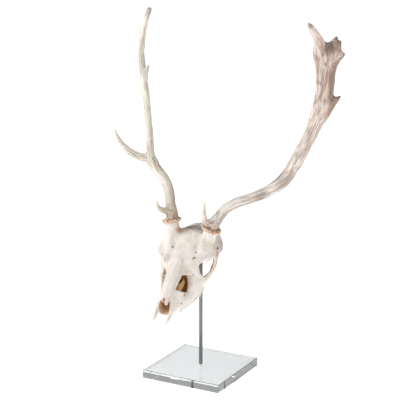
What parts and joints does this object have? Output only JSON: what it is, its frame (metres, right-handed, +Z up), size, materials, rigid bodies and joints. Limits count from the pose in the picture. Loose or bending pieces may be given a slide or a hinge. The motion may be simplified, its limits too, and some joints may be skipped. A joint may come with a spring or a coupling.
{
  "type": "fallow deer skull on a display stand",
  "caption": "Fallow deer skull without the lower jaw, one antler palmed and one a plain beam with tines, held nose down on a steel rod in a clear square base.",
  "frame": {"origin": "centre of the underside of the square base", "axes": "+Z up out of the base, the skull faces -Y, +X to the animal's left, the base's sides along X and Y"},
  "size_m": [0.4654, 0.2643, 0.7585],
  "materials": {
    "bone": "dry cleaned bone, ivory white with grey and ochre stains",
    "antler": "dry antler, grooved along its length, pale with pinkish brown streaks",
    "acrylic": "clear polished acrylic block with a fine bevel",
    "rod": "plain round steel rod, satin"
  },
  "bodies": {
    "root": {"braincase": "bone", "sphenoid": "bone", "frontal_left": "bone", "frontal_right": "bone", "jugal_left": "bone", "jugal_right": "bone", "maxilla_left": "bone", "maxilla_right": "bone", "premaxilla_left": "bone", "premaxilla_right": "bone", "nasal_left": "bone", "nasal_right": "bone", "antler_left_beam": "antler", "antler_left_palm": "antler", "antler_left_brow_tine": "antler", "antler_right_beam": "antler", "antler_right_upper_beam": "antler", "antler_right_trez_tine": "antler", "antler_right_brow_tine": "antler", "stand_base": "acrylic", "stand_rod": "rod"}
  },
  "joints": []
}
